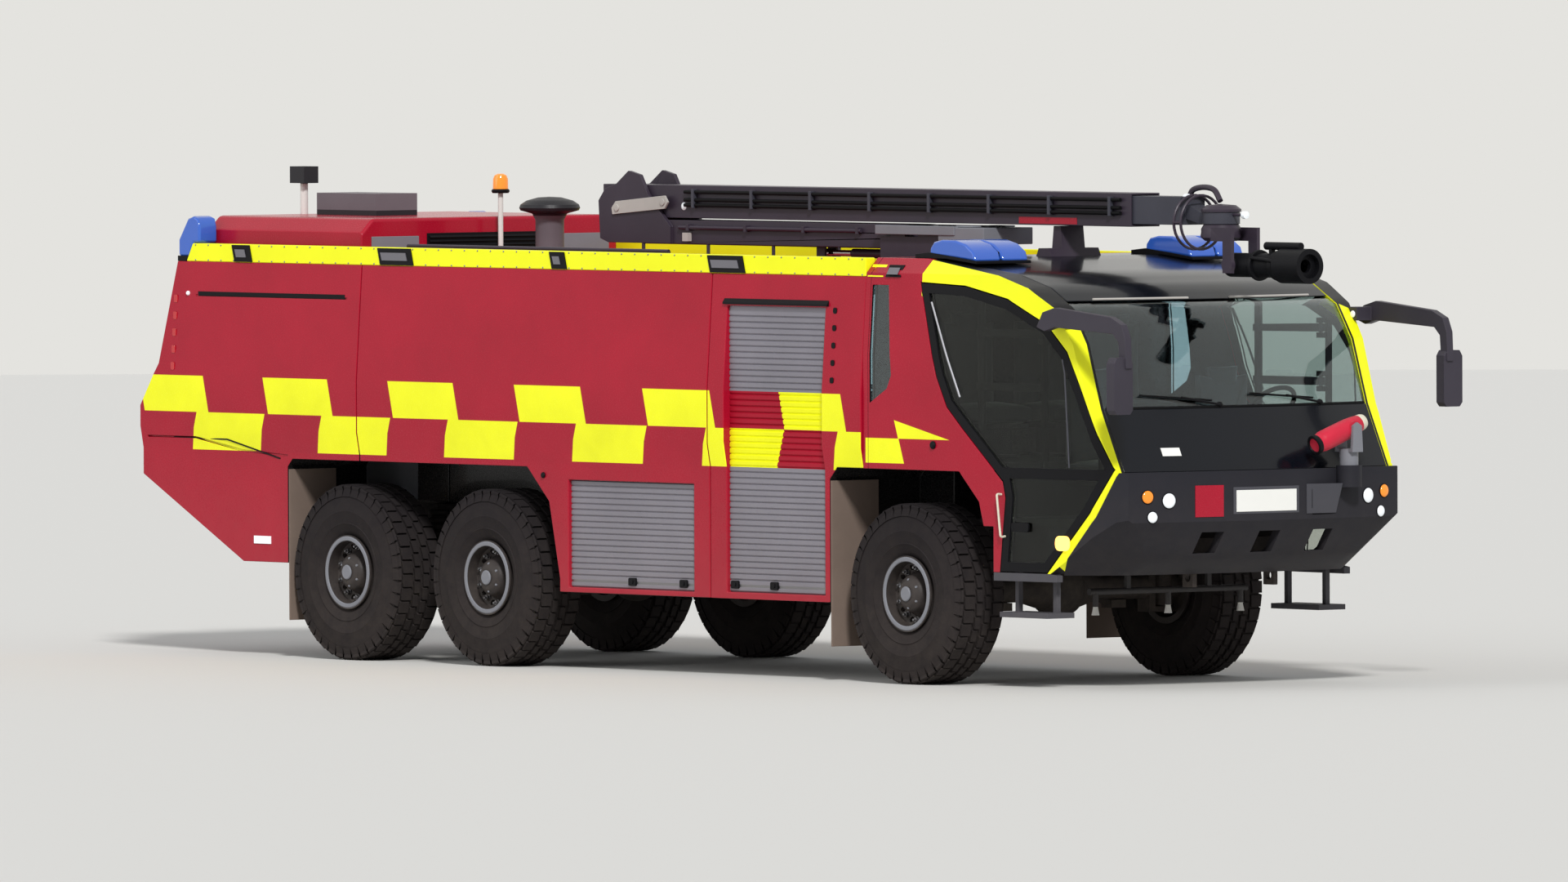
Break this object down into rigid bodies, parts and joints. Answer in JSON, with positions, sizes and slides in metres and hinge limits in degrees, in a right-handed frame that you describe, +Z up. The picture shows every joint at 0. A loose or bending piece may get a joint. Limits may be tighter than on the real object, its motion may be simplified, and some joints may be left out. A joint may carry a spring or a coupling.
{
  "type": "airport fire truck",
  "caption": "Airport fire truck on driven, steered and twin rear axles, with swing-out cab doors and a folding, telescoping roof boom that carries a water nozzle.",
  "frame": {"origin": "on the ground under the middle of the truck's box", "axes": "+X forward along the truck, +Y to its left, +Z up"},
  "size_m": [12.31, 3.36, 3.7549],
  "materials": {
    "body_paint": "gloss two-pack paint on glass-fibre panels",
    "edge_paint": "gloss yellow paint",
    "cab_paint": "gloss red paint on sheet metal",
    "arc_paint": "gloss yellow paint on sheet metal",
    "roof_paint": "gloss black paint on sheet metal",
    "boom_paint": "satin dark grey paint",
    "turntable_paint": "satin grey paint",
    "chassis_paint": "chassis paint",
    "engine_casting": "painted casting",
    "spring_steel": "painted spring steel",
    "shutter_aluminium": "anodised slats",
    "bumper_plastic": "grained moulded plastic",
    "black_plastic": "moulded plastic",
    "glass": "tinted glass",
    "lamp_glass": "clear and coloured lenses",
    "tyre_rubber": "tyre rubber",
    "rim_paint": "satin paint on pressed steel",
    "flap_rubber": "dusty rubber",
    "seat_cloth": "woven cloth",
    "monitor_paint": "gloss red paint",
    "rod_chrome": "hard chrome"
  },
  "bodies": {
    "root": {"frame": "chassis_paint", "towing_eyes": "chassis_paint", "axles": "chassis_paint", "suspension": "spring_steel", "driveline": "chassis_paint", "engine": "engine_casting", "rear_module": "body_paint", "mid_module": "body_paint", "locker_module": "body_paint", "shutters": "shutter_aluminium", "roof_edges": "edge_paint", "roof_cover": "body_paint", "roof_fittings": "boom_paint", "lamps": "lamp_glass", "cab_floor": "chassis_paint", "cab_roof": "roof_paint", "cab_rear_wall": "turntable_paint", "cab_sides": "cab_paint", "cab_arcs": "arc_paint", "cab_front": "black_plastic", "cab_glass": "glass", "seats": "seat_cloth", "dashboard": "black_plastic", "bumper": "bumper_plastic", "ground_nozzles": "turntable_paint", "mud_flaps": "flap_rubber", "steps": "turntable_paint", "mirrors": "black_plastic"},
    "knuckle_left": {"knuckle_l": "chassis_paint"},
    "knuckle_right": {"knuckle_r": "chassis_paint"},
    "door_arm_left": {"door_arm_l": "chassis_paint"},
    "door_arm_right": {"door_arm_r": "chassis_paint"},
    "door_left": {"door_l": "black_plastic", "door_glass_l": "glass"},
    "door_right": {"door_r": "black_plastic", "door_glass_r": "glass"},
    "turntable": {"turntable": "turntable_paint"},
    "lower_boom": {"lower_boom": "boom_paint"},
    "lift_barrel": {"lift_barrel": "boom_paint"},
    "lift_rod": {"lift_rod": "rod_chrome"},
    "upper_boom": {"upper_boom": "boom_paint"},
    "telescope": {"telescope": "turntable_paint"},
    "turret_head": {"turret_head": "boom_paint"},
    "turret_nozzle": {"turret_nozzle": "boom_paint"},
    "front_monitor": {"front_monitor": "turntable_paint"},
    "front_nozzle": {"front_nozzle": "monitor_paint"},
    "wheel_front_left": {"tyre_front_l": "tyre_rubber", "rim_front_l": "rim_paint"},
    "wheel_front_right": {"tyre_front_r": "tyre_rubber", "rim_front_r": "rim_paint"},
    "wheel_middle_left": {"tyre_middle_l": "tyre_rubber", "rim_middle_l": "rim_paint"},
    "wheel_middle_right": {"tyre_middle_r": "tyre_rubber", "rim_middle_r": "rim_paint"},
    "wheel_rear_left": {"tyre_rear_l": "tyre_rubber", "rim_rear_l": "rim_paint"},
    "wheel_rear_right": {"tyre_rear_r": "tyre_rubber", "rim_rear_r": "rim_paint"}
  },
  "joints": [
    {"name": "steer_left", "type": "hinge", "parent": "root", "child": "knuckle_left", "pos_m": [3.205, 1.03, 0.675], "axis": [0, 0, 1], "range_deg": [-30, 30]},
    {"name": "roll_front_left", "type": "hinge", "parent": "knuckle_left", "child": "wheel_front_left", "pos_m": [3.205, 1.25, 0.675], "axis": [0, 1, 0], "continuous": true},
    {"name": "roll_middle_left", "type": "hinge", "parent": "root", "child": "wheel_middle_left", "pos_m": [-1.855, 1.25, 0.675], "axis": [0, 1, 0], "continuous": true},
    {"name": "roll_rear_left", "type": "hinge", "parent": "root", "child": "wheel_rear_left", "pos_m": [-3.585, 1.25, 0.675], "axis": [0, 1, 0], "continuous": true},
    {"name": "door_swing_left", "type": "hinge", "parent": "root", "child": "door_arm_left", "pos_m": [3.965, 1.33, 2.4], "axis": [0, 0, 1], "range_deg": [0, 90]},
    {"name": "door_keep_left", "type": "hinge", "parent": "door_arm_left", "child": "door_left", "pos_m": [4.685, 1.33, 2.4], "axis": [0, 0, 1], "range_deg": [-90, 0]},
    {"name": "steer_right", "type": "hinge", "parent": "root", "child": "knuckle_right", "pos_m": [3.205, -1.03, 0.675], "axis": [0, 0, 1], "range_deg": [-30, 30]},
    {"name": "roll_front_right", "type": "hinge", "parent": "knuckle_right", "child": "wheel_front_right", "pos_m": [3.205, -1.25, 0.675], "axis": [0, 1, 0], "continuous": true},
    {"name": "roll_middle_right", "type": "hinge", "parent": "root", "child": "wheel_middle_right", "pos_m": [-1.855, -1.25, 0.675], "axis": [0, 1, 0], "continuous": true},
    {"name": "roll_rear_right", "type": "hinge", "parent": "root", "child": "wheel_rear_right", "pos_m": [-3.585, -1.25, 0.675], "axis": [0, 1, 0], "continuous": true},
    {"name": "door_swing_right", "type": "hinge", "parent": "root", "child": "door_arm_right", "pos_m": [3.965, -1.33, 2.4], "axis": [0, 0, -1], "range_deg": [0, 90]},
    {"name": "door_keep_right", "type": "hinge", "parent": "door_arm_right", "child": "door_right", "pos_m": [4.685, -1.33, 2.4], "axis": [0, 0, -1], "range_deg": [-90, 0]},
    {"name": "boom_slew", "type": "hinge", "parent": "root", "child": "turntable", "pos_m": [1.705, 0, 3.05], "axis": [0, 0, 1], "range_deg": [-30, 30]},
    {"name": "boom_lift", "type": "hinge", "parent": "turntable", "child": "lower_boom", "pos_m": [1.585, 0, 3.295], "axis": [0, 1, 0], "range_deg": [0, 60]},
    {"name": "boom_elbow", "type": "hinge", "parent": "lower_boom", "child": "upper_boom", "pos_m": [-1.895, 0, 3.525], "axis": [0, 1, 0], "range_deg": [-90, 0]},
    {"name": "boom_extend", "type": "slide", "parent": "upper_boom", "child": "telescope", "axis": [1, 0, 0], "range_m": [0, 3.4]},
    {"name": "turret_pan", "type": "hinge", "parent": "telescope", "child": "turret_head", "pos_m": [5.135, 0, 3.525], "axis": [0, 0, 1], "range_deg": [-45, 45]},
    {"name": "turret_tilt", "type": "hinge", "parent": "turret_head", "child": "turret_nozzle", "pos_m": [5.365, 0, 3.13], "axis": [0, 1, 0], "range_deg": [-30, 45]},
    {"name": "lift_barrel_swing", "type": "hinge", "parent": "turntable", "child": "lift_barrel", "pos_m": [1.505, 0, 3.155], "axis": [0, 1, 0], "range_deg": [0, 61]},
    {"name": "lift_rod_slide", "type": "slide", "parent": "lift_barrel", "child": "lift_rod", "axis": [-1, 0, 0], "range_m": [0, 0.163]},
    {"name": "monitor_pan", "type": "hinge", "parent": "root", "child": "front_monitor", "pos_m": [5.765, 0.7, 1.7], "axis": [0, 0, 1], "range_deg": [0, 180]},
    {"name": "monitor_tilt", "type": "hinge", "parent": "front_monitor", "child": "front_nozzle", "pos_m": [5.765, 0.7, 1.915], "axis": [-1, 0, 0], "range_deg": [0, 65]}
  ],
  "couplings": [
    {"joint": "steer_right", "follows": "steer_left", "ratio": 1},
    {"joint": "door_keep_left", "follows": "door_swing_left", "ratio": -1},
    {"joint": "door_keep_right", "follows": "door_swing_right", "ratio": -1},
    {"joint": "boom_elbow", "follows": "boom_lift", "ratio": -1.5},
    {"joint": "lift_barrel_swing", "follows": "boom_lift", "ratio": 1.0095},
    {"joint": "lift_rod_slide", "follows": "boom_lift", "m_per_rad": 0.154}
  ]
}
